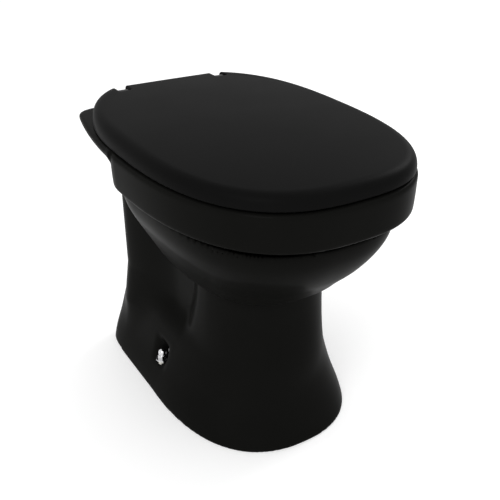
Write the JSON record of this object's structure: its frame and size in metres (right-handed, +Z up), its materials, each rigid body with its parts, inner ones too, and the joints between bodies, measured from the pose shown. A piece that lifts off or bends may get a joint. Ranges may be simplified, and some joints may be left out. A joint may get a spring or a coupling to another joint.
{
  "type": "close coupled toilet",
  "caption": "Floor-standing toilet pan in black glazed china with a short rear shelf, a hinged seat and a wrap-over lid.",
  "frame": {"origin": "on the floor, under the middle of the whole toilet's box", "axes": "+Z up, front of the bowl towards -Y, symmetric left to right about X = 0"},
  "size_m": [0.336, 0.468, 0.4117],
  "materials": {
    "glazed_china": "black vitreous glaze, satin gloss",
    "seat_plastic": "black moulded seat plastic, satin gloss",
    "hinge_plastic": "black moulded hinge plastic",
    "black_rubber": "black moulded rubber",
    "grey_rubber": "dark grey soft buffer",
    "white_nylon": "natural nylon",
    "chrome_brass": "polished chrome plate",
    "steel": "stainless steel"
  },
  "bodies": {
    "pan_body": {"pan": "glazed_china", "inlet_seal": "black_rubber", "outlet_seal": "black_rubber", "floor_bush_left": "white_nylon", "floor_bush_right": "white_nylon", "floor_washer_left": "chrome_brass", "floor_washer_right": "chrome_brass", "floor_cap_nut_left": "chrome_brass", "floor_cap_nut_right": "chrome_brass", "hinge_pad_left": "black_rubber", "hinge_pad_right": "black_rubber", "hinge_post_left": "hinge_plastic", "hinge_post_right": "hinge_plastic", "hinge_pin_left": "steel", "hinge_pin_right": "steel", "seat_bolt_left": "steel", "seat_bolt_right": "steel", "hinge_cap_left": "hinge_plastic", "hinge_cap_right": "hinge_plastic", "seat_bolt_bush_left": "black_rubber", "seat_bolt_bush_right": "black_rubber", "seat_bolt_washer_left": "hinge_plastic", "seat_bolt_washer_right": "hinge_plastic", "seat_wing_nut_left": "hinge_plastic", "seat_wing_nut_right": "hinge_plastic"},
    "seat": {"seat_ring": "seat_plastic", "seat_buffers": "grey_rubber", "seat_hinge_bush_left": "white_nylon", "seat_hinge_bush_right": "white_nylon"},
    "lid": {"lid": "seat_plastic", "lid_buffers": "grey_rubber", "lid_hinge_bush_left": "white_nylon", "lid_hinge_bush_right": "white_nylon"}
  },
  "joints": [
    {"name": "seat_hinge", "type": "hinge", "parent": "pan_body", "child": "seat", "pos_m": [0, 0.21, 0.401], "axis": [-1, 0, 0], "range_deg": [0, 95]},
    {"name": "lid_hinge", "type": "hinge", "parent": "seat", "child": "lid", "pos_m": [0, 0.21, 0.401], "axis": [-1, 0, 0], "range_deg": [0, 95]}
  ]
}
